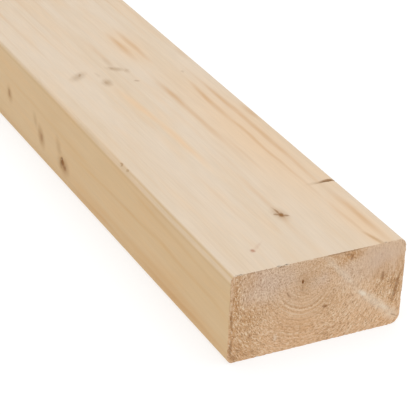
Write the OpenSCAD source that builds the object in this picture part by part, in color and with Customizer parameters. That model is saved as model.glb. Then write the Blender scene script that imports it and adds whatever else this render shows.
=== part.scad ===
// Planed softwood plank: one length of sawn, dried and planed timber with rounded arrises.
//
// The plank lies flat. X runs along its length, Y across its wide face and Z through its
// thickness. The origin is at the middle of the face it lies on. All sizes are in millimetres.

/* [Section] */
// Width of the wide face, after planing
width = 90; // [60:1:290]
// Thickness, after planing
thickness = 45; // [32:1:100]

/* [Length] */
// Length between the two sawn ends
length = 2400; // [900:100:6000]

/* [Rounded arrises] */
// Radius of the arris between the top face and the front edge
top_front_arris = 2; // [0.5:0.1:6]
// Radius of the arris between the top face and the back edge
top_back_arris = 4; // [0.5:0.1:6]
// Radius of the arris between the bottom face and the front edge
bottom_front_arris = 3; // [0.5:0.1:6]
// Radius of the arris between the bottom face and the back edge
bottom_back_arris = 5; // [0.5:0.1:6]

/* [Edge split] */
// Distance of the split from the sawn end at +X
split_from_end = 62; // [20:1:400]
// Length of the split across the top face, inwards from the back edge
split_length = 13; // [6:1:20]
// Depth of the split down the back edge
split_depth = 8; // [4:1:16]
// Width of the split where it is open, at the back edge
split_gap = 1.3; // [0.8:0.1:3]

/* [Loose knot] */
// Distance of the loose knot in the front edge from the sawn end at +X
knot_from_end = 185; // [20:1:400]
// Height of the knot's centre above the bottom face
knot_height = 12; // [10:1:20]
// Radius of the gap that the dead bark has left round the knot
knot_radius = 3.2; // [2:0.1:5]
// Widest part of that crescent gap
knot_gap = 0.9; // [0.4:0.1:1.5]
// Depth of the gap
knot_depth = 4; // [2:1:8]

/* [Hidden] */

sawn_end = length / 2;   // X of the end at +X, and minus this of the other
half_width = width / 2;
overcut = 1;             // how far each cutter runs past the timber
round_sides = 96;

// Cutter for one arris: the square corner less a quarter round, along the whole length.
// turn is 0, 90, 180 or 270 degrees about X, from the corner at +Y +Z.
module arris_cutter(radius, turn) {
    long = length + 2 * overcut;
    rotate([turn, 0, 0]) difference() {
        translate([-long / 2, 0, 0]) cube([long, radius + overcut, radius + overcut]);
        translate([-long / 2 - overcut, 0, 0]) rotate([0, 90, 0])
            cylinder(r = radius, h = long + 2 * overcut, $fn = round_sides);
    }
}

// The four arrises, each set in from its corner by its own radius.
module arris_cutters() {
    translate([0, half_width - top_back_arris, thickness - top_back_arris])
        arris_cutter(top_back_arris, 0);
    translate([0, top_front_arris - half_width, thickness - top_front_arris])
        arris_cutter(top_front_arris, 90);
    translate([0, bottom_front_arris - half_width, bottom_front_arris])
        arris_cutter(bottom_front_arris, 180);
    translate([0, half_width - bottom_back_arris, bottom_back_arris])
        arris_cutter(bottom_back_arris, 270);
}

// An open split where an edge knot has pulled away: a wedge that is widest at the back edge
// and runs out to nothing across the top face and down the back edge.
module edge_split() {
    reach = split_length + overcut;
    drop = split_depth + overcut;
    translate([sawn_end - split_from_end, half_width + overcut, thickness + overcut])
        intersection() {
            // In plan: a sliver that narrows away from the back edge.
            translate([0, 0, -drop]) linear_extrude(height = drop)
                polygon([[-split_gap / 2, 0], [split_gap / 2, 0], [0, -reach]]);
            // From the end: a triangle under the top back corner.
            translate([-split_gap, 0, 0]) rotate([90, 0, 90])
                linear_extrude(height = 2 * split_gap)
                    polygon([[0, 0], [-reach, 0], [0, -drop]]);
        }
}

// The crescent gap round a loose pin knot in the front edge.
module knot_crescent() {
    translate([sawn_end - knot_from_end, -half_width + knot_depth, knot_height])
        rotate([90, 0, 0]) difference() {
            cylinder(r = knot_radius, h = knot_depth + overcut, $fn = round_sides);
            translate([knot_gap, knot_gap / 3, -overcut])
                cylinder(r = knot_radius, h = knot_depth + 3 * overcut, $fn = round_sides);
        }
}

// The plank: one sawn and planed piece.
module plank() {
    color("#DDC8A8") difference() {
        translate([-sawn_end, -half_width, 0]) cube([length, width, thickness]);
        arris_cutters();
        edge_split();
        knot_crescent();
    }
}

plank();
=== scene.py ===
# %% [markdown]
# # A planed softwood plank
#
# This lesson finishes one plank of spruce framing timber: a long bar with rounded corners,
# planed on four sides and sawn across at both ends. Its size is settled already. It comes
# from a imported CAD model, which is loaded first and never changed.

# %% Load the fixed frame
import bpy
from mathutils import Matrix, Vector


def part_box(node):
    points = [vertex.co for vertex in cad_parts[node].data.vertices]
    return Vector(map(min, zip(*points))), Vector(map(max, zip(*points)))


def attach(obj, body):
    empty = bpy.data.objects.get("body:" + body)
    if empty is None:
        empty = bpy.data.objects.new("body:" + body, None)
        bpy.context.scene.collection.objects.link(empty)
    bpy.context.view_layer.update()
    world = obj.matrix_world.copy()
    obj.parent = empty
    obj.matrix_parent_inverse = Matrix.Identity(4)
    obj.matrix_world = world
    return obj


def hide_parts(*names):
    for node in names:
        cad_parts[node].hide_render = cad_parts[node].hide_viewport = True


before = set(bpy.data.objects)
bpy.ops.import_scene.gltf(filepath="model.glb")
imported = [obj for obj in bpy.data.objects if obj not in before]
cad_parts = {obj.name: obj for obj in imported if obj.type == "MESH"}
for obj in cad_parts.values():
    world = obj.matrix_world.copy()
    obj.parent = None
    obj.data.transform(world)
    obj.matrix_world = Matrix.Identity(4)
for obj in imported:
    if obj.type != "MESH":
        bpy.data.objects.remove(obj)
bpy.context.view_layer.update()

# %% [markdown]
# ## Measures
#
# Blender works in metres, and a timber yard in millimetres. Every size below is written in
# millimetres, and places are counted as a joiner would: how far from the near sawn
# end, how far across from the front edge, how high above the underside.

# %% Sizes in millimetres
import math

import bmesh
import bpy
from mathutils import Quaternion, Vector, noise

MM = 0.001
NEAR = 0.01              # two places closer than this are the same
low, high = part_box("plank")
LENGTH = (high.x - low.x) / MM
WIDTH = (high.y - low.y) / MM
THICKNESS = (high.z - low.z) / MM
END_X = high.x / MM      # the sawn end that the camera faces
FRONT_Y = low.y / MM     # the narrow front edge
BACK_Y = high.y / MM
print("plank %.0f x %.0f x %.0f mm" % (LENGTH, WIDTH, THICKNESS))

# %% [markdown]
# ## The camera
#
# The view is a long lens looking down along the plank from a little above, so that the end,
# the top and the front edge all show. The camera comes first, because everything after it is
# judged through it. It is placed from the near end of the CAD model.

# %% Place the camera
EYE = Vector((END_X + 608.1, FRONT_Y - 342.6, 458.0)) * MM
LOOK = Vector((-0.7728, 0.4181, -0.4774))
ROLL = math.radians(2.83)
LENS = 162.5             # on a 36 mm wide sensor

camera = bpy.data.objects.new("camera", bpy.data.cameras.new("camera"))
bpy.context.scene.collection.objects.link(camera)
bpy.context.scene.camera = camera
camera.data.lens = LENS
camera.data.sensor_width = 36.0
camera.data.clip_start = 0.01
camera.location = EYE
camera.rotation_mode = "QUATERNION"
camera.rotation_quaternion = LOOK.to_track_quat("-Z", "Y") @ Quaternion((0, 0, 1), ROLL)
print("camera %.3f m from the near end" % (EYE - Vector((END_X * MM, 0, 0))).length)

# %% [markdown]
# ## The bar
#
# A planer leaves flat faces and a small quarter round, or arris, along each long corner. The
# section could be drawn as an outline and extruded, but a cube takes fewer steps: the Bevel
# operator rounds its four long edges, each with its own radius.

# %% A block with four rounded arrises
ARRISES = (              # across, height, radius
    (FRONT_Y, THICKNESS, 2.0),
    (BACK_Y, THICKNESS, 4.0),
    (FRONT_Y, 0.0, 3.0),
    (BACK_Y, 0.0, 5.0),
)
ARRIS_SEGMENTS = 6

bm = bmesh.new()
bmesh.ops.create_cube(bm, size=1.0)
bmesh.ops.scale(bm, vec=(LENGTH, WIDTH, THICKNESS), verts=bm.verts)
bmesh.ops.translate(bm, vec=(0, 0, THICKNESS / 2), verts=bm.verts)
for across, height, radius in ARRISES:
    corner = [edge for edge in bm.edges
              if all(abs(v.co.y - across) < NEAR and abs(v.co.z - height) < NEAR
                     for v in edge.verts)]
    bmesh.ops.bevel(bm, geom=corner, offset=radius, offset_type="OFFSET",
                    segments=ARRIS_SEGMENTS, profile=0.5, affect="EDGES", material=-1)
print("block:", len(bm.faces), "faces")

# %% [markdown]
# ## Enough faces for the timber's surface
#
# Saw fuzz, a split and a loose knot need points to move. A subdivision modifier would add
# them everywhere alike. Instead, lines are cut lengthwise with Bisect, which keeps each cut
# flat, and then the long edges are subdivided into stations. The stations close up where the
# detail is: at the ends, the split and the loose knot.

# %% Cut lengthwise lines
FINE_GAP = 0.4           # between lines on the sawn end
COARSE_EVERY = 4         # and one line in four runs the whole length
CLEAR = 0.2              # the cuts keep this far off the arrises
KNOT_HEIGHT = 12.0       # the loose knot's centre, on the front edge
KNOT_REACH = 4.5         # all lines this close to it run the whole length too


def cut(bm, place, normal, part=None):
    """Cuts a mesh, or a part of it, with a plane and returns that part with its new pieces."""
    part = part or bm.verts[:] + bm.edges[:] + bm.faces[:]
    return bmesh.ops.bisect_plane(bm, geom=part, dist=0.0001, plane_co=place,
                                  plane_no=normal)["geom"]


across_lines = [FRONT_Y + FINE_GAP * i for i in range(1, round(WIDTH / FINE_GAP))]
height_lines = [FINE_GAP * i for i in range(1, round(THICKNESS / FINE_GAP))]
front_arris = max(radius for across, _, radius in ARRISES if across == FRONT_Y) + CLEAR
back_arris = max(radius for across, _, radius in ARRISES if across == BACK_Y) + CLEAR
top_arris = max(radius for _, height, radius in ARRISES if height > 0) + CLEAR
bottom_arris = max(radius for _, height, radius in ARRISES if height == 0) + CLEAR
for across in across_lines[COARSE_EVERY - 1::COARSE_EVERY]:
    if FRONT_Y + front_arris < across < BACK_Y - back_arris:
        cut(bm, (0, across, 0), (0, 1, 0))
for i, height in enumerate(height_lines, 1):
    beside_knot = abs(height - KNOT_HEIGHT) < KNOT_REACH
    on_flat = bottom_arris < height < THICKNESS - top_arris
    if on_flat and (i % COARSE_EVERY == 0 or beside_knot):
        cut(bm, (0, 0, height), (0, 0, 1))
print("after the lengthwise cuts:", len(bm.faces), "faces")

# %% Subdivide into stations
SPLIT_AT = 62.0          # from the near end
LOOSE_KNOT_AT = 185.0
RIM_STEPS = (0.0, 0.5, 1.2, 2.2, 6.0, 14.0)      # from either end
SPLIT_STEPS = (0.2, 0.4, 0.7, 1.0, 1.3)          # either side of the split

stations = [*RIM_STEPS[:-2]]
stations += [4.0 + 2.0 * i for i in range(36)]                   # the near end and the split
stations += [SPLIT_AT - step for step in SPLIT_STEPS] + [SPLIT_AT + step for step in SPLIT_STEPS]
stations += [78.0 + 4.0 * i for i in range(26)]                  # on to the loose knot
stations += [LOOSE_KNOT_AT + 0.4 * i for i in range(-11, 12)]
stations += [194.0 + 4.0 * i for i in range(27)]                 # the rest that is seen close to
stations += [300.0 + 26.0 * i for i in range(80)]                # the long plain stretch
stations += [LENGTH - step for step in RIM_STEPS]                # the far end
stations = sorted(set(stations))

long_edges = [e for e in bm.edges if abs(e.verts[0].co.x - e.verts[1].co.x) > LENGTH / 2]
bmesh.ops.subdivide_edges(bm, edges=long_edges, cuts=len(stations) - 2, use_grid_fill=True)
for v in bm.verts:
    step = round((END_X - v.co.x) / LENGTH * (len(stations) - 1))
    v.co.x = END_X - stations[step]
print(len(stations), "stations,", len(bm.faces), "faces")

# %% [markdown]
# ## Finer faces on the end that is seen
#
# A saw tears the fibres, so the end needs a much finer grid than the planed sides. Only the
# end's own faces are cut again. The faces beside it gain points on their short edge and
# nothing more.

# %% Cut the near end finely
end_faces = [f for f in bm.faces if all(v.co.x > END_X - NEAR for v in f.verts)]
part = end_faces + list({e for f in end_faces for e in f.edges}) \
    + list({v for f in end_faces for v in f.verts})
for across in across_lines:
    part = cut(bm, (0, across, 0), (0, 1, 0), part)
for height in height_lines:
    part = cut(bm, (0, 0, height), (0, 0, 1), part)
print("with the near end cut:", len(bm.faces), "faces")

# %% [markdown]
# ## How the tree grew
#
# The plank is cut round the heart of a young tree, so the pith, the thin core that the
# growth rings circle, runs inside it. A straight pith would give straight, lifeless grain, so
# it wanders a few millimetres along the length. Relief and colour both follow it: its path is
# a function here, and nodes with the same numbers further down.

# %% The pith's path
PITH_ACROSS = -7.0       # from the plank's middle
PITH_HEIGHT = 34.2
PITH_SWAYS = ((2.6, 900.0), (1.6, 640.0))   # sideways and upright: how far, over what length


def pith_at(from_end):
    """Across and height of the pith at a distance from the near end."""
    sway = [far * math.sin(math.tau * from_end / over) for far, over in PITH_SWAYS]
    return PITH_ACROSS + sway[0], PITH_HEIGHT + sway[1]


print("pith at the far end:", [round(v, 1) for v in pith_at(LENGTH)])

# %% [markdown]
# ## Relief
#
# Both ends are rough: short torn fibres lie along the rings, and the saw has left faint
# slanting ridges. The long faces are planed flat, but the arrises waver where the planer's
# feed did. A Displace modifier could roughen the mesh, but it knows nothing of the rings, so
# each point is moved by noise here. Everything moves inwards, so the plank keeps its size.

# %% How rough the sawn ends are
FUZZ = 0.34              # deepest torn fibre
TUFT = (0.75, 2.6)       # size of a torn tuft, out from the pith and round it
SPECK = 0.8
SAW_RIDGE = (1.9, 26.0)  # width and length
SAW_SLANT = 0.55


def end_depth(across, height, from_end):
    """How far a point of a sawn end lies below its plane: torn fibre, specks and saw ridges."""
    pith = pith_at(from_end)
    ring = math.hypot(across - pith[0], height - pith[1])
    turn = math.atan2(height - pith[1], across - pith[0])
    torn = noise.noise(Vector((ring / TUFT[0], turn * ring / TUFT[1], from_end)))
    speck = noise.noise(Vector((across / SPECK, height / SPECK, 7.0 + from_end)))
    ridge = noise.noise(Vector(((across + SAW_SLANT * height) / SAW_RIDGE[0],
                                height / SAW_RIDGE[1], 3.0)))
    return FUZZ * min(1.0, max(0.0, 0.42 + 0.5 * torn + 0.4 * speck + 0.28 * ridge))


print("torn %.2f mm deep at the end's middle" % end_depth(0.0, THICKNESS / 2, 0.0))

# %% How the arrises waver
ARRIS_WAVE = 0.096       # how far the round gives way, over some 55 mm of length
ARRIS_NICK = 0.05        # and in short nicks of about 9 mm
SKIN = 0.08              # a point this close to the round lies on it


def ease_arris(place, across, height, radius):
    """Draws a point of one arris in where the cutter wavered. Says if the point is on it."""
    inward_y = math.copysign(1, -across)
    inward_z = 1 if height == 0 else -1
    out_y = (place.y - across) * inward_y - radius
    out_z = (place.z - height) * inward_z - radius
    reach = math.hypot(out_y, out_z)
    if out_y >= 0 or out_z >= 0 or reach <= radius - SKIN:
        return False
    wave = noise.noise(Vector((place.x / 55.0, across, height)))
    nick = noise.noise(Vector((place.x / 9.0, across, height + 5.0)))
    give = ARRIS_WAVE * (0.5 + 0.5 * wave) + ARRIS_NICK * max(0.0, nick)
    # The middle of the round gives way most, and its two edges not at all.
    off_middle = abs(abs(math.atan2(out_z, out_y)) - math.radians(135)) / math.radians(45)
    share = (radius - give * max(0.0, 1.0 - off_middle)) / reach
    place.y = across + inward_y * (radius + out_y * share)
    place.z = height + inward_z * (radius + out_z * share)
    return True


print("arrises give way by up to %.2f mm" % (ARRIS_WAVE + ARRIS_NICK))

# %% Roughen the ends and ease the arrises
CHIP = 0.9               # biggest chip out of an end's rim
RIM_WORN = 0.12          # least that an end's rim is worn back

torn = 0
for v in bm.verts:
    x, y, z = v.co
    from_end = END_X - x
    rim = abs(y) > WIDTH / 2 - NEAR or z < NEAR or z > THICKNESS - NEAR
    for arris in ARRISES:
        rim = ease_arris(v.co, *arris) or rim
    if min(from_end, LENGTH - from_end) < NEAR:
        depth = end_depth(y, z, from_end)
        if rim:
            chip = CHIP * max(0.0, noise.noise(Vector((y / 1.7, z / 1.7, 11.0 + from_end))))
            depth = RIM_WORN + 0.75 * depth + chip
            v.co.y *= 1 - chip / WIDTH
        v.co.x -= math.copysign(depth, x)
        torn += 1
print("relief moved", torn, "points of the two ends")

# %% [markdown]
# ## The split and the loose knot
#
# A knot has pulled away from the back edge and left an open split across the top. A Boolean
# would cut it, but it leaves long thin faces, so the points are moved instead: those inside
# the split's outline are drawn down to a line that joins its two ends, which makes a V-shaped
# opening. Round a loose knot in the front edge, the dead bark has fallen out and left a
# curved gap, so the points in a crescent are pushed in.

# %% Open the split
SPLIT_ACROSS = 13.0      # from the back edge, over the top
SPLIT_DOWN = 8.0         # down the back edge
SPLIT_GAP = 1.3

top_tip = Vector((BACK_Y - SPLIT_ACROSS, THICKNESS))
side_tip = Vector((BACK_Y, THICKNESS - SPLIT_DOWN))
opened = 0
for v in bm.verts:
    off = abs(END_X - v.co.x - SPLIT_AT)
    if off > 1.5 or v.co.z < side_tip.y or v.co.y < top_tip.x:
        continue
    along = (v.co.y - top_tip.x) + (THICKNESS - v.co.z)
    share = along / (SPLIT_ACROSS + SPLIT_DOWN)
    half_gap = SPLIT_GAP / 2 * min(1.0, 0.2 + 1.3 * share)    # narrow only near its tip
    pull = max(0.0, 1.0 - off / half_gap)
    if pull > 0:
        floor_line = top_tip.lerp(side_tip, share)
        v.co.y += (floor_line.x - v.co.y) * pull
        v.co.z += (floor_line.y - v.co.z) * pull
        opened += 1
print("split opened with", opened, "points")

# %% Sink the gap round the loose knot
KNOT_RADIUS = 3.2
CRESCENT = 0.9           # widest part of the gap
CRESCENT_DEPTH = 3.4
KNOT_SHRUNK = 0.15       # the loose knot itself has shrunk back this far
RAGGED = 0.35            # how uneven the gap's outline is, and how wide its slope

sunk = 0
for v in bm.verts:
    if v.co.y > FRONT_Y + 0.01:
        continue
    side = END_X - v.co.x - LOOSE_KNOT_AT
    up = v.co.z - KNOT_HEIGHT
    ragged = RAGGED * noise.noise(Vector((side, up, 2.0)))
    outer = math.hypot(side, up) + ragged
    inner = math.hypot(side + CRESCENT, up + CRESCENT / 3) + ragged
    gap = min(KNOT_RADIUS - outer, inner - KNOT_RADIUS)
    if gap > 0:
        v.co.y += CRESCENT_DEPTH * min(1.0, gap / RAGGED)
        sunk += 1
    elif inner < KNOT_RADIUS:
        v.co.y += KNOT_SHRUNK
print("crescent gap sunk with", sunk, "points")

# %% [markdown]
# ## From bmesh to an object
#
# The mesh is scaled to metres and becomes one object, since the plank is one piece. It could
# have had an object for each face, but then the corners would show seams. The faces of the
# two ends get the second material, end grain. The rim of each end is marked sharp, so that
# the flat end and the round arris don't shade into each other.

# %% Make the plank object
bmesh.ops.scale(bm, vec=(MM, MM, MM), verts=bm.verts)
for face in bm.faces:
    face.smooth = True
    at_end = abs(face.calc_center_median().x) > high.x - 0.8 * MM
    face.material_index = int(at_end and abs(face.normal.x) > 0.6)
for edge in bm.edges:
    kinds = {face.material_index for face in edge.link_faces}
    edge.smooth = len(kinds) == 1
mesh = bpy.data.meshes.new("plank")
bm.to_mesh(mesh)
bm.free()
plank = bpy.data.objects.new("planed_plank", mesh)
bpy.context.scene.collection.objects.link(plank)
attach(plank, "root")
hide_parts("plank")
triangles = sum(len(p.vertices) - 2 for p in mesh.polygons)
print("plank:", len(mesh.polygons), "faces,", triangles, "triangles")

# %% [markdown]
# ## Materials: small helpers
#
# Colours are written as sRGB hex, as a paint chart gives them, and Blender wants linear
# light. One function does that, and one adds a node with its settings and links. Every
# material starts from one shader. Wood's colour is then built up as a grainer paints it: a
# base coat, and glazes laid over it one by one, each only where its own pattern says.

# %% Colour and node helpers
def linear(hex_colour):
    """An sRGB hex colour as linear red, green, blue and alpha."""
    channels = [int(hex_colour[i:i + 2], 16) / 255 for i in (1, 3, 5)]
    return [c / 12.92 if c <= 0.04045 else ((c + 0.055) / 1.055) ** 2.4 for c in channels] + [1.0]


def add(tree, kind, inputs=None, **settings):
    """Adds a node: "Math SINE" is a Math node that takes a sine. An input is a value, a socket,
    or a node, which stands for its first output."""
    kind, *operation = kind.split()
    node = tree.nodes.new("ShaderNode" + kind)
    if operation:
        node.operation = operation[0]
    for name, value in settings.items():
        setattr(node, name, value)
    for name, value in (inputs or {}).items():
        if isinstance(value, bpy.types.Node):
            value = value.outputs[0]
        if isinstance(value, bpy.types.NodeSocket):
            tree.links.new(value, node.inputs[name])
        else:
            node.inputs[name].default_value = value
    return node


print("cream early wood in linear light:", [round(c, 3) for c in linear("#E3D0B9")])

# %% Material helpers
MIX_A, MIX_B, MIX_OUT = 6, 7, 2          # the Mix node's colour sockets


def new_material(name, surface):
    """Starts a material from one shader. Returns the material, its node tree and the shader."""
    material = bpy.data.materials.new(name)
    material.use_nodes = True
    material.node_tree.nodes.clear()
    shader = add(material.node_tree, "BsdfPrincipled", surface)
    add(material.node_tree, "OutputMaterial", {0: shader})
    return material, material.node_tree, shader


def lay_glazes(tree, base, glazes):
    """Lays glazes over a base coat: how much at each point, its colour, how it is laid on."""
    colour = linear(base)
    for amount, glaze, how in glazes:
        mix = add(tree, "Mix", {0: amount, MIX_A: colour, MIX_B: linear(glaze)},
                  data_type="RGBA", blend_type=how)
        colour = mix.outputs[MIX_OUT]
    return colour


# Cut fibres scatter light, so bare wood has less of a gleam than its IOR alone would give.
BARE_WOOD = {"IOR": 1.5, "Specular IOR Level": 0.35}
print("bare wood:", BARE_WOOD)

# %% [markdown]
# ## Growth rings in three dimensions
#
# Wood is a solid pattern: one set of rings explains the streaks on the top, the lines on the
# edges and the arcs on the ends. A picture of wood on each face would never meet at the
# corners. The nodes measure how far a point lies from the pith, bend that distance a little,
# and divide it by the ring width. Each ring is pale early wood that darkens into a thin band
# of late wood and then stops short.

# %% Nodes for one ring's early and late wood
RING_WIDTH = 2.1


def late_wood(tree, ring):
    """Adds nodes that turn a distance from the pith into the darkness of late wood there."""
    # Good and bad years come in runs, so the rings are wider here and closer there.
    years = add(tree, "Math MULTIPLY", {0: ring, 1: 1 / 7.0})
    years = add(tree, "TexNoise", {"W": years, "Scale": 1.0, "Detail": 0.0},
                noise_dimensions="1D")
    count = add(tree, "Math MULTIPLY", {0: ring, 1: 1 / RING_WIDTH})
    count = add(tree, "Math MULTIPLY_ADD", {0: years, 1: 2.6, 2: count})
    phase = add(tree, "Math FRACT", {0: count})
    # A MapRange node gives 0 to 1, unless its inputs 3 and 4 say otherwise.
    rise = add(tree, "MapRange", {0: phase, 1: 0.3, 2: 0.88}, interpolation_type="SMOOTHSTEP")
    fall = add(tree, "MapRange", {0: phase, 1: 1.0, 2: 0.88}, interpolation_type="SMOOTHSTEP")
    late = add(tree, "Math MULTIPLY", {0: rise, 1: fall})
    # Some years' late wood is much darker than others'.
    year = add(tree, "Math FLOOR", {0: count})
    dark_year = add(tree, "TexWhiteNoise", {"W": year}, noise_dimensions="1D")
    weight = add(tree, "MapRange", {0: dark_year, 3: 0.15, 4: 1.0})
    return add(tree, "Math MULTIPLY", {0: late, 1: weight})


print("rings", RING_WIDTH, "mm wide")

# %% Nodes for a place in the tree
BENDS = ((170.0, 26.0, 3.4), (38.0, 5.0, 0.9))   # length, girth and size of each bend


def grown_rings(tree):
    """Adds nodes and returns the sockets that say where a point lies in the tree."""
    place = add(tree, "TexCoord").outputs["Object"]
    mm = add(tree, "VectorMath SCALE", {0: place, "Scale": 1 / MM})
    part = add(tree, "SeparateXYZ", {0: mm})
    from_end = add(tree, "Math SUBTRACT", {0: END_X, 1: part.outputs["X"]})
    offsets = []
    for (far, over), start, axis in zip(PITH_SWAYS, (PITH_ACROSS, PITH_HEIGHT), "YZ"):
        angle = add(tree, "Math MULTIPLY", {0: from_end, 1: math.tau / over})
        wave = add(tree, "Math SINE", {0: angle})
        sway = add(tree, "Math MULTIPLY_ADD", {0: wave, 1: far, 2: start})
        offsets.append(add(tree, "Math SUBTRACT", {0: part.outputs[axis], 1: sway}))
    flat = add(tree, "CombineXYZ", {1: offsets[0], 2: offsets[1]})
    reach = ring = add(tree, "VectorMath LENGTH", {0: flat}).outputs["Value"]
    turn = add(tree, "Math ARCTAN2", {0: offsets[1], 1: offsets[0]})
    for along, girth, size in BENDS:
        squeezed = add(tree, "VectorMath MULTIPLY", {0: mm, 1: (1 / along, 1 / girth, 1 / girth)})
        bend = add(tree, "TexNoise", {"Vector": squeezed, "Scale": 1.0, "Detail": 1.0})
        bend = add(tree, "Math MULTIPLY_ADD", {0: bend, 1: size, 2: -size / 2})
        ring = add(tree, "Math ADD", {0: ring, 1: bend})
    return {"mm": mm, "part": part, "from_end": from_end, "reach": reach, "ring": ring,
            "turn": turn, "late": late_wood(tree, ring)}


print("the rings bend in", len(BENDS), "sizes")

# %% [markdown]
# ## Knots, streaks and stains
#
# A knot is the root of a branch, an amber streak is late wood full of resin, and a blush is a
# warm patch of wood between such streaks. They could be painted on an image, but nodes keep
# them sharp and let them run on over a corner. Each mark is one row, as a joiner would
# measure it: kind, face, place, half size, tilt in degrees and strength. The place is from
# the end and across on the top, and from the end and height on an edge.

# %% The knots near the end
MARKS = [
    # A star-shaped knot, with cracks running out of it.
    ("dark", "top", 41, 47.3, 2, 1.6, 0, 0.88),
    ("dark", "top", 43.5, 47, 5, 0.6, 4, 0.60),
    ("dark", "top", 39.8, 48.9, 0.8, 2, -25, 0.60),
    ("dark", "top", 42.3, 45.6, 0.9, 1.5, -30, 0.55),
    ("stain", "top", 41.5, 47.2, 6, 3.2, 0, 0.36),
    # A pink pin knot and its tail.
    ("pink", "top", 16.8, 19.5, 1.5, 1.2, 0, 0.80),
    ("pink", "top", 19.8, 23.4, 4.4, 1, -50, 0.17),
    # A cluster where small knots lie just under the surface.
    ("dark", "top", 216, 22.9, 1.8, 0.7, -25, 0.34),
    ("bruise", "top", 214.6, 21.4, 6, 2.9, -50, 0.42),
    ("dark", "top", 218.4, 42, 1.8, 0.9, 20, 0.20),
    ("bruise", "top", 216.4, 43.8, 4.6, 2.5, 50, 0.44),
    ("bruise", "top", 212.6, 48.4, 2.6, 1.6, -10, 0.34),
    ("bruise", "top", 226, 43.6, 6, 1.6, 0, 0.16),
    ("dark", "top", 202.6, 32, 1.5, 0.9, 0, 0.16),
    ("bruise", "top", 202.3, 32.6, 4.2, 2.6, -12, 0.50),
    ("bruise", "top", 213, 31.8, 3, 0.8, 0, 0.20),
    ("dark", "top", 198.8, 48, 0.8, 1.6, -30, 0.34),
    # A pin knot by the back edge, and two dots on the front arris.
    ("dark", "top", 200.5, 75.6, 1.3, 0.9, 0, 0.18),
    ("dark", "top", 115.5, 1, 1.7, 0.6, 0, 0.50),
    ("dark", "top", 108.6, 0.9, 1.2, 0.5, 0, 0.36),
    # Knots in the front edge, with their stains. The one at 185 mm is loose.
    ("dark", "front", 258.6, 20.4, 1.5, 2.2, 20, 0.34),
    ("stain", "front", 258, 20, 3.2, 4.2, 30, 0.50),
    ("dark", "front", 212.8, 14.2, 1.4, 2.4, 20, 0.26),
    ("stain", "front", 213.5, 14.6, 3.8, 5.6, 35, 0.60),
    ("stain", "front", 221.5, 20.5, 2.4, 4.4, 30, 0.26),
    ("dark", "front", 185.4, 12.4, 2.2, 2.1, 35, 1.00),
    ("dark", "front", 182.4, 10.6, 2.4, 1.6, 0, 0.62),
    ("stain", "front", 183.6, 11.4, 6.4, 4.6, -10, 0.66),
    ("stain", "front", 190, 19, 3, 5.4, 30, 0.30),
    # A bruise by the near corner, and the dirt in the split and beside it.
    ("bruise", "top", 5, 76, 7, 0.9, 14, 0.32),
    ("dark", "back", 62.3, 43, 0.9, 6, 0, 0.55),
    ("dark", "top", 62.7, 84.6, 1.2, 4.4, 0, 0.74),
    ("bruise", "top", 62.3, 80, 1.2, 6, 0, 0.34),
]
print(len(MARKS), "knot marks near the end")

# %% The streaks near the end
STREAKS = [
    # Warm wood between the streaks.
    ("blush", "top", 116, 72, 80, 17, 0, 0.66),
    ("blush", "top", 20, 78, 40, 10, 0, 0.62),
    ("blush", "top", 66, 84.5, 26, 4, 0, 0.50),
    ("blush", "top", 240, 62, 26, 10, 0, 0.50),
    ("blush", "top", 168, 35.8, 26, 2.4, 5, 0.80),
    ("blush", "top", 128, 37.8, 32, 2.2, 0, 0.80),
    # Resin in the top face.
    ("amber", "top", 122, 79.6, 72, 1.6, 0.3, 0.60),
    ("amber", "top", 160, 79.8, 26, 1.7, 0.5, 0.76),
    ("amber", "top", 112, 73, 62, 1.1, 0.7, 0.48),
    ("amber", "top", 160, 72.6, 28, 1.7, -0.5, 0.64),
    ("amber", "top", 150, 58, 52, 1.8, 0.2, 0.40),
    ("amber", "top", 174, 57.4, 20, 2, 0, 0.68),
    ("amber", "top", 104, 60.6, 22, 1.2, 0, 0.26),
    ("amber", "top", 242, 58.8, 18, 2.1, 0, 0.62),
    ("amber", "top", 240, 65.6, 22, 1.9, 0, 0.60),
    ("amber", "top", 238, 44, 22, 1.8, 0, 0.24),
    ("amber", "top", 28, 80.6, 34, 2.2, 0, 0.54),
    ("amber", "top", 26, 74.2, 22, 1.2, 0, 0.28),
    ("amber", "top", 6, 75.8, 9, 1.5, 14, 0.52),
    ("amber", "top", 222, 86, 9, 2.2, 0, 0.30),
    ("amber", "top", 143, 86, 10, 2, 0, 0.54),
    ("amber", "top", 50, 46.6, 34, 1.8, -2, 0.26),
    ("amber", "top", 92, 50.2, 28, 1.2, 0, 0.16),
    ("amber", "top", 60, 28.4, 36, 1, 0, 0.12),
    ("amber", "top", 84, 17, 30, 1, 0, 0.12),
    # Broader, fainter streaks in the front edge.
    ("honey", "front", 110, 24.4, 60, 1.2, 2, 0.34),
    ("honey", "front", 45, 25.2, 40, 1.6, -2, 0.36),
    ("honey", "front", 60, 35.6, 50, 1.4, -3, 0.24),
    ("honey", "front", 90, 9, 120, 3.2, 0, 0.26),
    ("honey", "front", 48, 5.6, 50, 1.8, 0, 0.44),
    ("honey", "front", 140, 5.2, 36, 1.6, 0, 0.36),
    ("honey", "front", 210, 28, 60, 1.6, -2, 0.20),
]
print(len(STREAKS), "streaks near the end")

# %% [markdown]
# ## From a row to nodes
#
# A Mapping node of the TEXTURE kind turns a mark into a unit ball, so the length of its
# vector says how near the middle a point is, in three dimensions. The strongest mark wins at
# each point, so marks that overlap don't add up.

# %% Nodes for one kind of mark
TURNS = {"top": (0, 0, 0), "front": (90, 0, 0), "back": (90, 0, 0), "end": (90, 0, 90)}
MARK_DEPTH = 8.0
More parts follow.
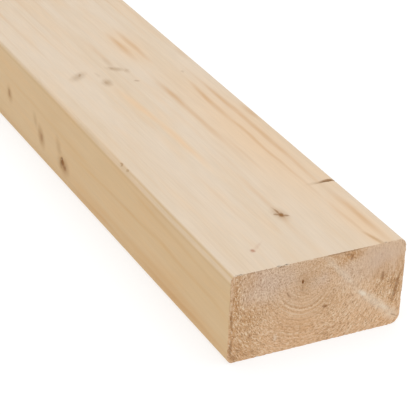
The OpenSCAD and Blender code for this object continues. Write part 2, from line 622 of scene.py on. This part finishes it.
# Where a mark starts to show and where it has its full strength, in half sizes.
FADES = {
    "dark": (1.35, 0.45), "pink": (1.5, 0.2), "stain": (1.6, 0.0), "bruise": (1.6, 0.0),
    "amber": (1.45, 0.1), "honey": (1.45, 0.1), "blush": (1.6, 0.0),
    "grey": (1.8, 0.0), "brown": (1.7, 0.0), "pale": (1.6, 0.1),
    "coarse": (1.6, 0.2), "ringed": (1.5, 0.4), "smooth": (1.6, 0.3),
}


def mark_field(tree, mm, rows, kind):
    """Adds nodes that give, at each point, the strongest mark of one kind."""
    strongest = 0.0
    begin, full = FADES[kind]
    for _, face, first, second, half_long, half_wide, tilt, strength in \
            [row for row in rows if row[0] == kind]:
        across = {"front": FRONT_Y, "back": BACK_Y, "end": first - WIDTH / 2}.get(
            face, second - WIDTH / 2)
        height = THICKNESS if face == "top" else second
        along = END_X if face == "end" else END_X - first
        turn = [math.radians(a) for a in TURNS[face]]
        turn[1 if turn[0] else 2] += math.radians(-tilt if turn[0] else tilt)
        ball = add(tree, "Mapping", {"Vector": mm, "Location": (along, across, height),
                                     "Rotation": turn,
                                     "Scale": (half_long, half_wide, MARK_DEPTH)},
                   vector_type="TEXTURE")
        off = add(tree, "VectorMath LENGTH", {0: ball}).outputs["Value"]
        near = add(tree, "MapRange", {0: off, 1: begin, 2: full, 4: strength},
                   interpolation_type="SMOOTHSTEP")
        strongest = add(tree, "Math MAXIMUM", {0: near, 1: strongest})
    return strongest


print("kinds of mark:", ", ".join(FADES))

# %% [markdown]
# ## Knots on the rest of the length
#
# Spruce grows its branches in rings, called whorls, a foot or more apart, and each branch
# widens on its way out from the pith. A row for each would need hundreds of nodes. Unrolled
# by angle and length, the branches are a loose grid, so one Voronoi texture places them all:
# each cell holds one branch. The distance from the branch's middle, over its radius there,
# says where a point lies in its knot.

# %% Nodes for the hidden knots
WHORL_GAP = 340.0
BRANCHES = 4             # in each whorl
THIN, THICK = 0.06, 0.20  # a branch's radius, as a share of its distance from the pith
SLANT = 0.8              # branches are cut at a slant, which makes their knots longer
KNOT_FREE = 290.0        # the near end's knots are listed one by one up to here
FAR_OFF = 9.0            # so many radii away that no knot shows


def hidden_knots(tree, grain):
    """Adds nodes that give the distance from a hidden branch in knot radii: 1 is its bark."""
    along = add(tree, "Math MULTIPLY", {0: grain["from_end"], 1: 1 / WHORL_GAP})
    round_about = add(tree, "Math MULTIPLY", {0: grain["turn"], 1: BRANCHES / math.tau})
    cell = add(tree, "CombineXYZ", {0: along, 1: round_about})
    branch = add(tree, "TexVoronoi", {"Vector": cell, "Scale": 1.0, "Randomness": 0.55},
                 voronoi_dimensions="2D")
    away = add(tree, "VectorMath SUBTRACT", {0: cell, 1: branch.outputs["Position"]})
    girth = add(tree, "Math MULTIPLY", {0: grain["reach"], 1: math.tau / BRANCHES})
    scale = add(tree, "CombineXYZ", {0: WHORL_GAP * SLANT, 1: girth})
    away = add(tree, "VectorMath MULTIPLY", {0: away, 1: scale})
    off = add(tree, "VectorMath LENGTH", {0: away}).outputs["Value"]
    taper = add(tree, "SeparateXYZ", {0: branch.outputs["Color"]})
    taper = add(tree, "MapRange", {0: taper, 3: THIN, 4: THICK})
    radius = add(tree, "Math MULTIPLY", {0: grain["reach"], 1: taper})
    away = add(tree, "Math DIVIDE", {0: off, 1: radius})
    clear = add(tree, "MapRange", {0: grain["from_end"], 1: KNOT_FREE, 2: KNOT_FREE + 12.0,
                                   3: FAR_OFF, 4: 0.0})
    return add(tree, "Math ADD", {0: away, 1: clear})


print("whorls %.0f mm apart, with %d branches each" % (WHORL_GAP, BRANCHES))

# %% [markdown]
# ## Planed spruce
#
# Kiln-dried spruce, planed. The eye sees cream early wood with faint tan late wood, a few
# amber streaks of resin, and a dull silky surface: the knives cut every fibre clean, so it is
# rough but not chalky. The narrow edges have browned more in the air than the faces. All of
# it is drawn with noises that are stretched along the length, as the tree's own fibres are.

# %% Planed spruce: its shader, and places with frayed outlines
def jitter(tree, mm, lump, size):
    """Shakes the place by noise in lumps of a size, so that outlines drawn from it fray."""
    shake = add(tree, "VectorMath MULTIPLY", {0: mm, 1: [1 / side for side in lump]})
    shake = add(tree, "TexNoise", {"Vector": shake, "Scale": 1.0, "Detail": 2.0})
    shake = add(tree, "VectorMath SUBTRACT", {0: shake.outputs["Color"], 1: (0.5, 0.5, 0.5)})
    return add(tree, "VectorMath MULTIPLY_ADD", {0: shake, 1: (size, size, size), 2: mm})


planed, tree, shader = new_material("planed_spruce", BARE_WOOD)
grain = grown_rings(tree)
part = grain["part"]
ragged = jitter(tree, grain["mm"], (2.2, 2.2, 2.2), 1.5)
wandering = jitter(tree, grain["mm"], (34.0, 9.0, 9.0), 3.0)
print("planed spruce begins with", len(tree.nodes), "nodes")

# %% Planed spruce: its noises
STRETCHES = {            # size along, across and upright in mm, and the detail
    "fibre": (15.0, 0.7, 0.7, 3.0),
    "drift": (90.0, 16.0, 16.0, 3.0),
    "resin": (130.0, 3.2, 3.2, 1.0),
    "blush": (34.0, 7.0, 7.0, 2.0),
}
stretched = {}
for name, (along, across, upright, detail) in STRETCHES.items():
    squeezed = add(tree, "VectorMath MULTIPLY",
                   {0: grain["mm"], 1: (1 / along, 1 / across, 1 / upright)})
    stretched[name] = add(tree, "TexNoise", {"Vector": squeezed, "Scale": 1.0,
                                             "Detail": detail}).outputs[0]
print("with its noises:", len(tree.nodes), "nodes")

# %% Planed spruce: warm wood and late wood
warm = add(tree, "MapRange", {0: stretched["drift"], 1: 0.42, 2: 0.72, 4: 0.38})
blush = add(tree, "MapRange", {0: stretched["blush"], 1: 0.45, 2: 0.72, 4: 0.26})
blush = add(tree, "Math MAXIMUM", {0: mark_field(tree, wandering, STREAKS, "blush"), 1: blush})
shown = add(tree, "MapRange", {0: stretched["drift"], 1: 0.40, 2: 0.62, 3: 0.02, 4: 0.13})
late = add(tree, "Math MULTIPLY", {0: grain["late"], 1: shown})
print("with its rings:", len(tree.nodes), "nodes")

# %% [markdown]
# ### Resin streaks
#
# Late wood that is full of resin shows as long amber streaks. Drawn as plain ellipses they
# would look like paint, because a real one fades in and out along its length. So each is
# multiplied by two noises: one breaks it into lengths, and the fibres feather it.

# %% Planed spruce: resin streaks
resin = add(tree, "MapRange", {0: stretched["resin"], 1: 0.58, 2: 0.80, 4: 0.50})
# Near the end the streaks are listed, and noise adds few of its own.
unmarked = add(tree, "MapRange", {0: grain["from_end"], 1: 230.0, 2: 330.0, 3: 0.2, 4: 1.0})
resin = add(tree, "Math MULTIPLY", {0: resin, 1: unmarked})
streaky = add(tree, "MapRange", {0: stretched["fibre"], 1: 0.3, 2: 0.65, 3: 0.62, 4: 1.0})
amber = mark_field(tree, wandering, STREAKS, "amber")
broken = add(tree, "MapRange", {0: stretched["blush"], 1: 0.38, 2: 0.60, 3: 0.74, 4: 1.12})
amber = add(tree, "Math MULTIPLY", {0: amber, 1: broken})
amber = add(tree, "Math MAXIMUM", {0: amber, 1: resin})
amber = add(tree, "Math MULTIPLY", {0: amber, 1: streaky})
honey = add(tree, "Math MULTIPLY", {0: mark_field(tree, wandering, STREAKS, "honey"), 1: broken})
honey = add(tree, "Math MULTIPLY", {0: honey, 1: streaky})
print("with its streaks:", len(tree.nodes), "nodes")

# %% [markdown]
# ### Knots along the rest of it
#
# A knot is a branch cut across. It has reddish wood with fine rings of its own, a dark line
# of bark, and a halo where the trunk's wood bends round it. All of them are steps of one
# number, the distance from the branch in knot radii, so they always fit each other.

# %% Planed spruce: the hidden knots
branch = hidden_knots(tree, grain)
# The distance is shaken a little, so that no knot is a perfect ellipse.
uneven = add(tree, "TexNoise", {"Vector": grain["mm"], "Scale": 0.16, "Detail": 2.0})
branch = add(tree, "Math MULTIPLY_ADD", {0: uneven, 1: 0.5, 2: branch})
branch = add(tree, "Math SUBTRACT", {0: branch, 1: 0.25})
halo = add(tree, "MapRange", {0: branch, 1: 2.8, 2: 0.8, 4: 0.45},
           interpolation_type="SMOOTHSTEP")
bark = add(tree, "MapRange", {0: branch, 1: 1.12, 2: 0.98, 4: 0.75})
inside = add(tree, "MapRange", {0: branch, 1: 0.98, 2: 0.8, 4: 0.85})
# The fine rings, and a darker heart.
knot_ring = add(tree, "Math MULTIPLY", {0: branch, 1: 9.0})
knot_ring = add(tree, "TexNoise", {"W": knot_ring, "Scale": 1.0, "Detail": 2.0},
                noise_dimensions="1D")
knot_ring = add(tree, "MapRange", {0: knot_ring, 1: 0.44, 2: 0.62, 4: 0.60})
heart = add(tree, "MapRange", {0: branch, 1: 0.36, 2: 0.05, 4: 0.55})
knot_ring = add(tree, "Math MAXIMUM", {0: knot_ring, 1: heart})
knot_ring = add(tree, "Math MULTIPLY", {0: knot_ring, 1: inside})
print("with its hidden knots:", len(tree.nodes), "nodes")

# %% [markdown]
# ### Browned edges, painted shade and a painted highlight strip
#
# The narrow edges were cut first and have browned in the air. The brown is laid on by
# multiplying, so the grain shows through it. Low down, painted shade darkens the colour where
# the floor shades the plank. Along the top front arris a paler strip is a painted highlight,
# where the round catches the light, with a thin painted shade line on either side. It isn't
# quite parallel to the edge: it climbs as it runs away from the near end.

# %% Planed spruce: the browned edges, and painted shade low down
BROWN_FROM, BROWN_TO = 2.0, 0.2          # from the plank's edge, going out
edge_off = add(tree, "Math ABSOLUTE", {0: part.outputs["Y"]})
browning_and_highlight = add(tree, "MapRange", {0: edge_off, 1: WIDTH / 2 - BROWN_FROM,
                                 2: WIDTH / 2 - BROWN_TO}, interpolation_type="SMOOTHSTEP")
# Painted shade: the colour darkens over the lowest 9 mm, where the floor shades the plank.
painted_shade_low = add(tree, "MapRange", {0: part.outputs["Z"], 1: 9.0, 2: 0.0, 4: 0.4},
               interpolation_type="SMOOTHSTEP")
print("with its browned edges:", len(tree.nodes), "nodes")

# %% Planed spruce: a painted highlight strip along the top front arris
STRIP_FOOT, STRIP_TOP = -4.0, -0.3       # from the ridge, down the front edge
STRIP_CLIMB = 2.2
# Across plus height is 0 in the middle of the top front arris, and falls down the front edge.
ridge = add(tree, "Math ADD", {0: part.outputs["Y"], 1: part.outputs["Z"]})
upper = add(tree, "MapRange", {0: part.outputs["Z"], 1: 34.0, 2: 36.0})
climb = add(tree, "MapRange", {0: grain["from_end"], 1: 60.0, 2: 200.0,
                               4: STRIP_CLIMB})
strip = add(tree, "Math SUBTRACT", {0: ridge, 1: climb})
beyond = add(tree, "MapRange", {0: strip, 1: STRIP_TOP, 2: STRIP_TOP - 0.6})
beyond = add(tree, "Math MULTIPLY", {0: beyond, 1: upper})
# Painted highlight: the arris catches the light here, so the browning is eased along a strip.
painted_highlight = add(tree, "MapRange", {0: strip, 1: STRIP_FOOT, 2: STRIP_FOOT + 1.2, 4: 0.50})
painted_highlight = add(tree, "Math MULTIPLY", {0: painted_highlight, 1: beyond})
painted_highlight = add(tree, "Math MULTIPLY", {0: painted_highlight, 1: broken})
browning_and_highlight = add(tree, "Math SUBTRACT", {0: browning_and_highlight, 1: painted_highlight}, use_clamp=True)
print("with its fresh strip:", len(tree.nodes), "nodes")

# %% Planed spruce: the painted shade lines that bound the strip
# Painted shade: thin dark lines where the arris turns, one on its ridge and one at the strip's
# foot.
painted_ridge_shade = add(tree, "Math SUBTRACT", {0: ridge, 1: 0.3})
painted_ridge_shade = add(tree, "Math ABSOLUTE", {0: painted_ridge_shade})
painted_ridge_shade = add(tree, "MapRange", {0: painted_ridge_shade, 1: 1.1, 2: 0.2, 4: upper})
# The ridge's painted shade line fades further along.
ridge_shade_fade = add(tree, "MapRange", {0: grain["from_end"], 1: 70.0, 2: 170.0, 3: 0.16, 4: 0.03})
painted_ridge_shade = add(tree, "Math MULTIPLY", {0: painted_ridge_shade, 1: ridge_shade_fade})
painted_foot_shade = add(tree, "Math SUBTRACT", {0: strip, 1: STRIP_FOOT - 0.6})
painted_foot_shade = add(tree, "Math ABSOLUTE", {0: painted_foot_shade})
painted_foot_shade = add(tree, "MapRange", {0: painted_foot_shade, 1: 1.0, 2: 0.1, 4: 0.20})
painted_foot_shade = add(tree, "Math MULTIPLY", {0: painted_foot_shade, 1: beyond})
# Both painted shade lines together.
line = add(tree, "Math MAXIMUM", {0: painted_ridge_shade, 1: painted_foot_shade})
line = add(tree, "Math MULTIPLY", {0: line, 1: streaky})
print("with its lines:", len(tree.nodes), "nodes")

# %% [markdown]
# ### The colour, glaze by glaze
#
# The order matters: what grew in the tree comes first, then what air and tools did to the
# surface, together with painted shade low down and the painted highlight and shade lines on
# the top front arris, then the knots, which cover all of them. Last, every fibre is made a
# little lighter or darker than its neighbour, and the same noise drives how silky and how
# raised it is.

# %% Planed spruce: the colour itself
PLANED_GLAZES = (        # from the bottom one up
    (late, "#C99F6C", "MIX"),
    (warm, "#DCC2A0", "MIX"),
    (blush, "#E9C7A0", "MIX"),
    (amber, "#CB9C66", "MIX"),
    (honey, "#D0A266", "MIX"),
    # Browned edges, eased along the painted highlight strip.
    (browning_and_highlight, "#EEDFC1", "MULTIPLY"),
    # Painted shade low down, multiplied in.
    (painted_shade_low, "#EBD9B8", "MULTIPLY"),
    # Painted shade lines along the top front arris.
    (line, "#A8875A", "MIX"),
    (mark_field(tree, ragged, MARKS, "bruise"), "#A5845C", "MIX"),
    (mark_field(tree, ragged, MARKS, "stain"), "#96621E", "MIX"),
    (mark_field(tree, ragged, MARKS, "pink"), "#B57A5C", "MIX"),
    (mark_field(tree, ragged, MARKS, "dark"), "#86540A", "MIX"),
    (halo, "#B5926A", "MIX"),
    (bark, "#5A3D20", "MIX"),
    (inside, "#B1814D", "MIX"),
    (knot_ring, "#7A4E24", "MIX"),
)
colour = lay_glazes(tree, "#E3D0B9", PLANED_GLAZES)
fine = add(tree, "MapRange", {0: stretched["fibre"], 1: 0.25, 2: 0.75, 3: 0.955, 4: 1.035})
colour = add(tree, "VectorMath SCALE", {0: colour, "Scale": fine})
tree.links.new(colour.outputs[0], shader.inputs["Base Color"])
print("with its colour:", len(tree.nodes), "nodes")

# %% Planed spruce: its dull silk
rough = add(tree, "MapRange", {0: stretched["fibre"], 1: 0.2, 2: 0.8, 3: 0.54, 4: 0.70})
tree.links.new(rough.outputs[0], shader.inputs["Roughness"])
bump = add(tree, "Bump", {"Strength": 0.25, "Distance": 0.00012, "Height": stretched["fibre"]})
tree.links.new(bump.outputs[0], shader.inputs["Normal"])
print("planed spruce:", len(tree.nodes), "nodes")

# %% [markdown]
# ## Sawn end grain
#
# Spruce cut across with a coarse saw. The fibres end here like the straws of a brush, and
# light sinks in between them, so the end looks darker than the faces and quite matt. It has
# greyed and browned in patches. Torn fibres catch the light as pale flecks, with dark pits
# between them, most of all along the front. The rings show as faint arcs under the pith, and
# hardly anywhere else. The patches are rows like those above, and their place is across and
# height. Besides colours, they say where the end is coarse, smooth or clearly ringed.

# %% The end's own patches
PATCHES = {              # by kind: across, height, half sizes, tilt and strength
    # Greyed wood, above.
    "grey": [
        (18, 38, 17, 9, 0, 0.80),
        (77, 37, 12, 9, 0, 0.70),
        (46.5, 33, 5, 4, 0, 0.60),
        (62, 33, 8, 5.5, -40, 0.45),
    ],
    # Browned wood, along both edges and low down.
    "brown": [
        (2.6, 24, 3.6, 28, 0, 0.95),
        (9, 21, 9, 8, 0, 0.78),
        (19, 25, 9, 3.4, -15, 0.44),
        (7, 40, 7, 6, 0, 0.40),
        (60, 42, 7, 3.8, 14, 0.84),
        (52.5, 43.6, 4.5, 1.8, -14, 0.55),
        (41.5, 38.8, 6, 4.4, 0, 0.40),
        (37, 34, 5, 6.5, 0, 0.56),
        (28, 30, 5, 2, -30, 0.20),
        (50, 21, 8, 7, 0, 0.45),
        (53, 36.5, 5, 3.5, 0, 0.36),
        (34, 12, 18, 5, -6, 0.30),
        (79.5, 25, 7, 9, 0, 0.62),
        (86.6, 22.5, 3.8, 12, -8, 0.85),
        (52, 4, 7, 3.5, 0, 0.30),
        (44, 42.5, 13, 2.6, 0, 0.40),
        (8, 9, 9, 9, 0, 0.70),
        (27, 18, 7, 2.4, -20, 0.22),
    ],
    # The pith and the check below it, then dents and dirt, with a painted shadow line along the
    # top rim among them.
    "dark": [
        (36.3, 34.3, 0.6, 1.1, 8, 1.00),
        (36.7, 30, 0.3, 2.4, 0, 0.30),
        (78.7, 27.6, 1, 2.6, 0, 0.50),
        (86.3, 20, 0.9, 7.5, -12, 0.50),
        (48.7, 18.7, 1.4, 0.7, -15, 0.60),
        (29.6, 29, 0.4, 2.1, 32, 0.45),
        # Painted shadow: a thin dark line along the end's top rim.
        (25, 44.7, 2.4, 0.5, 0, 0.45),
        (58, 44.8, 11, 0.5, 0, 0.45),
        (10, 44.9, 11, 0.4, 0, 0.35),
        (61.4, 41.2, 0.6, 1.8, -10, 0.55),
        (59.6, 43, 3.2, 0.5, -12, 0.42),
        (86.8, 4.9, 2.2, 0.35, -30, 0.40),
        (1.2, 22, 0.6, 6, 4, 0.45),
        (1.4, 8, 0.8, 4.5, 0, 0.50),
        (5.4, 5.6, 1.3, 1.1, 0, 0.35),
        (3, 2.6, 2.6, 1.2, -40, 0.35),
    ],
    # A pale band that slants down from the pith to the back arris.
    "pale": [
        (68.6, 20.8, 3.2, 1.3, -38, 0.85),
        (81, 10.6, 5, 1.6, -37, 0.60),
        (76.2, 14.2, 2.6, 1.2, -40, 0.50),
        (77, 13.5, 15, 2.3, -40, 0.44),
        (85, 6.4, 4, 3.2, -30, 0.40),
        (55.5, 35.6, 13, 1.5, -47, 0.30),
        (24, 8, 0.9, 1.8, 0, 0.45),
    ],
    # Not colours, but where the saw tore, and where it ran clean.
    "coarse": [
        (4, 22, 4.5, 26, 0, 0.80),
        (12, 14, 10, 12, 0, 0.80),
        (56, 12, 10, 9, 0, 0.75),
        (82, 20, 8, 12, 0, 0.90),
        (70, 6, 12, 5, 0, 0.70),
    ],
    "ringed": [
        (36, 22, 14, 9, 0, 1.00),
        (27, 30, 5, 7, 0, 0.60),
        (34, 8, 18, 6, -6, 0.70),
    ],
    "smooth": [
        (79, 38, 13, 10, 0, 0.42),
        (38, 20, 13, 9, 0, 0.28),
    ],
}
patches = [(kind, "end", *row) for kind, rows in PATCHES.items() for row in rows]
print(len(patches), "patches on the end")

# %% Sawn end: its noises
TORN_PER_MM = 1.75       # torn fibres to a millimetre, counted out from the pith
SPECKS_PER_MM = 1.45
PATCH_PER_MM = 0.09      # the stains are some 11 mm across

sawn, tree, shader = new_material("sawn_end_grain", BARE_WOOD)
grain = grown_rings(tree)
part = grain["part"]
loose = jitter(tree, grain["mm"], (6.0, 6.0, 6.0), 7.0)
sharp = jitter(tree, grain["mm"], (1.3, 1.3, 1.3), 1.1)
around = add(tree, "Math MULTIPLY", {0: grain["turn"], 1: 9.0})
swirl = add(tree, "CombineXYZ", {0: grain["ring"], 1: around, 2: part.outputs["X"]})
torn = add(tree, "TexNoise", {"Vector": swirl, "Scale": TORN_PER_MM, "Detail": 3.0,
                              "Roughness": 0.6})
speck = add(tree, "TexNoise", {"Vector": grain["mm"], "Scale": SPECKS_PER_MM, "Detail": 3.0,
                               "Roughness": 0.62})
patch = add(tree, "TexNoise", {"Vector": grain["mm"], "Scale": PATCH_PER_MM, "Detail": 3.0})
print("sawn end so far:", len(tree.nodes), "nodes")

# %% [markdown]
# ### Stain, flecks and pits
#
# The end is browner low down and greyer above, with no clear line between, so height and a
# slow noise share in the stain. Two fast noises add up to the mottle: one follows the rings
# as the torn fibres do, the other is even. Its highest parts are pale flecks and its lowest
# are dark pits. Both swing wider where the end is coarse, and less where it is smooth.

# %% Sawn end: brown stain
brown = add(tree, "MapRange", {0: part.outputs["Z"], 1: 42.0, 2: 8.0, 3: -0.15, 4: 0.75})
brown = add(tree, "Math MULTIPLY_ADD", {0: patch, 1: 1.3, 2: brown})
brown = add(tree, "Math SUBTRACT", {0: brown, 1: 0.62}, use_clamp=True)
print("with its stain:", len(tree.nodes), "nodes")

# %% Sawn end: pale flecks and dark pits
mottle = add(tree, "Math MULTIPLY", {0: torn, 1: 1.2})
mottle = add(tree, "Math MULTIPLY_ADD", {0: speck, 1: 0.8, 2: mottle})
coarse = mark_field(tree, loose, patches, "coarse")
smooth = mark_field(tree, loose, patches, "smooth")
swing = add(tree, "MapRange", {0: coarse, 3: 0.60, 4: 1.0})
swing = add(tree, "Math SUBTRACT", {0: swing, 1: smooth}, use_clamp=True)
cream = add(tree, "MapRange", {0: mottle, 1: 1.02, 2: 1.22, 4: 0.88})
cream = add(tree, "Math MULTIPLY", {0: cream, 1: swing})
pits = add(tree, "MapRange", {0: mottle, 1: 0.98, 2: 0.78, 4: 0.84})
pits = add(tree, "Math MULTIPLY", {0: pits, 1: swing})
print("with its flecks and pits:", len(tree.nodes), "nodes")

# %% [markdown]
# ### Curled fibres and lines along the rings
#
# Where the end is coarse, fibres that were pulled loose curl over it, each with a shadow
# beside it. Hair could make them one by one, but they are under a tenth of a millimetre
# thick, so they are drawn: two contours of one noise are winding lines that never cross.
# Under the pith the saw ran clean instead. Thin lines of hard and soft wood show there, about
# one to a millimetre, and the rings themselves as faint arcs.

# %% Sawn end: curled fibres
CURLS_PER_MM = 0.8
CURLS = (                # name, contour, half the line's width, strength
    ("fibre", 0.50, 0.045, 0.75),
    ("shade", 0.56, 0.030, 0.65),
)

curl = add(tree, "TexNoise", {"Vector": grain["mm"], "Scale": CURLS_PER_MM, "Detail": 1.0})
curls = {}
for name, contour, half_line, strength in CURLS:
    away = add(tree, "Math SUBTRACT", {0: curl, 1: contour})
    away = add(tree, "Math ABSOLUTE", {0: away})
    line = add(tree, "MapRange", {0: away, 1: half_line, 2: 0.0, 4: strength})
    curls[name] = add(tree, "Math MULTIPLY", {0: line, 1: coarse})
print("with its curled fibres:", len(tree.nodes), "nodes")

# %% Sawn end: lines that follow the rings
LINES_PER_MM = 0.95

ringed = mark_field(tree, loose, patches, "ringed")
frayed = add(tree, "Math MULTIPLY_ADD", {0: speck, 1: 1.8, 2: grain["ring"]})
growth = add(tree, "Math MULTIPLY", {0: frayed, 1: LINES_PER_MM})
growth = add(tree, "TexNoise", {"W": growth, "Scale": 1.0, "Detail": 2.0},
             noise_dimensions="1D")
hard = add(tree, "MapRange", {0: growth, 1: 0.52, 2: 0.66, 4: 0.42})
hard = add(tree, "Math MULTIPLY", {0: hard, 1: ringed})
soft = add(tree, "MapRange", {0: growth, 1: 0.48, 2: 0.36, 4: 0.48})
soft = add(tree, "Math MULTIPLY", {0: soft, 1: ringed})
arcs = add(tree, "MapRange", {0: grain["reach"], 1: 30.0, 2: 18.0, 3: 0.2, 4: 1.0})
under = add(tree, "MapRange", {0: part.outputs["Z"], 1: 33.0, 2: 24.0, 3: 0.10, 4: 0.42})
late = add(tree, "Math MULTIPLY", {0: grain["late"], 1: arcs})
late = add(tree, "Math MULTIPLY", {0: late, 1: under})
print("with its rings:", len(tree.nodes), "nodes")

# %% Sawn end: the colour itself
SAWN_GLAZES = (          # from the bottom one up
    (brown, "#E4B78B", "MIX"),
    (mark_field(tree, loose, patches, "grey"), "#D4B7A0", "MIX"),
    (mark_field(tree, loose, patches, "brown"), "#C6935E", "MIX"),
    (late, "#A87A50", "MIX"),
    (hard, "#B28254", "MIX"),
    (soft, "#EFD6B6", "MIX"),
    (cream, "#F6E2C6", "MIX"),
    (pits, "#8C5E36", "MIX"),
    (curls["shade"], "#946030", "MIX"),
    (curls["fibre"], "#F4DCB8", "MIX"),
    (mark_field(tree, sharp, patches, "pale"), "#F1E3CE", "MIX"),
    (mark_field(tree, sharp, patches, "dark"), "#7E4A0C", "MIX"),
)
tree.links.new(lay_glazes(tree, "#E1C09E", SAWN_GLAZES), shader.inputs["Base Color"])
print("with its colour:", len(tree.nodes), "nodes")

# %% Sawn end: its matt, pitted surface
rough = add(tree, "MapRange", {0: speck, 1: 0.2, 2: 0.8, 3: 0.75, 4: 0.95})
tree.links.new(rough.outputs[0], shader.inputs["Roughness"])
bump = add(tree, "Bump", {"Strength": 0.7, "Distance": 0.0004, "Height": mottle})
tree.links.new(bump.outputs[0], shader.inputs["Normal"])
plank.data.materials.append(planed)
plank.data.materials.append(sawn)
print("sawn end:", len(tree.nodes), "nodes")

# %% [markdown]
# ## Floor and light
#
# The floor is a light table, as small goods are shown on: a white sheet that glows a little, so
# shadows on it stay faint. It is much larger than the plank, to fill every view. A white sky
# gives soft light from all round, and two large softboxes give the faces their different
# tones: one above, and a weaker one on the camera's side.

# %% Floor
bm = bmesh.new()
bmesh.ops.create_grid(bm, x_segments=1, y_segments=1, size=60.0)
floor_mesh = bpy.data.meshes.new("floor")
bm.to_mesh(floor_mesh)
bm.free()
floor = bpy.data.objects.new("floor", floor_mesh)
bpy.context.scene.collection.objects.link(floor)
table, _, shader = new_material("white_light_table", {
    "Base Color": linear("#AAAAAA"), "Roughness": 0.9,
    "Emission Color": (1, 1, 1, 1), "Emission Strength": 0.66})
floor.data.materials.append(table)
print("floor glows at", shader.inputs["Emission Strength"].default_value)

# %% Sky and softboxes
world = bpy.data.worlds.new("white_sky")
world.use_nodes = True
world.node_tree.nodes.clear()
sky = add(world.node_tree, "Background", {"Color": (1, 1, 1, 1), "Strength": 0.62})
add(world.node_tree, "OutputWorld", {0: sky})
bpy.context.scene.world = world

AIM = Vector((1.1, 0, 0.02))             # 100 mm in from the near end
SOFTBOXES = (            # name, place in metres, size in metres, watts
    ("softbox_above", (1.0, 0.3, 2.4), 2.2, 25.0),
    ("softbox_side", (1.9, -2.2, 1.3), 1.4, 7.0),
)
for name, place, size, watts in SOFTBOXES:
    lamp = bpy.data.lights.new(name, "AREA")
    lamp.size = size
    lamp.energy = watts
    box = bpy.data.objects.new(name, lamp)
    box.location = place
    box.rotation_euler = (AIM - box.location).to_track_quat("-Z", "Y").to_euler()
    box.visible_camera = False
    bpy.context.scene.collection.objects.link(box)
    print(name, "at", place)
bpy.context.scene.view_settings.view_transform = "Standard"
bpy.context.scene.view_settings.look = "None"
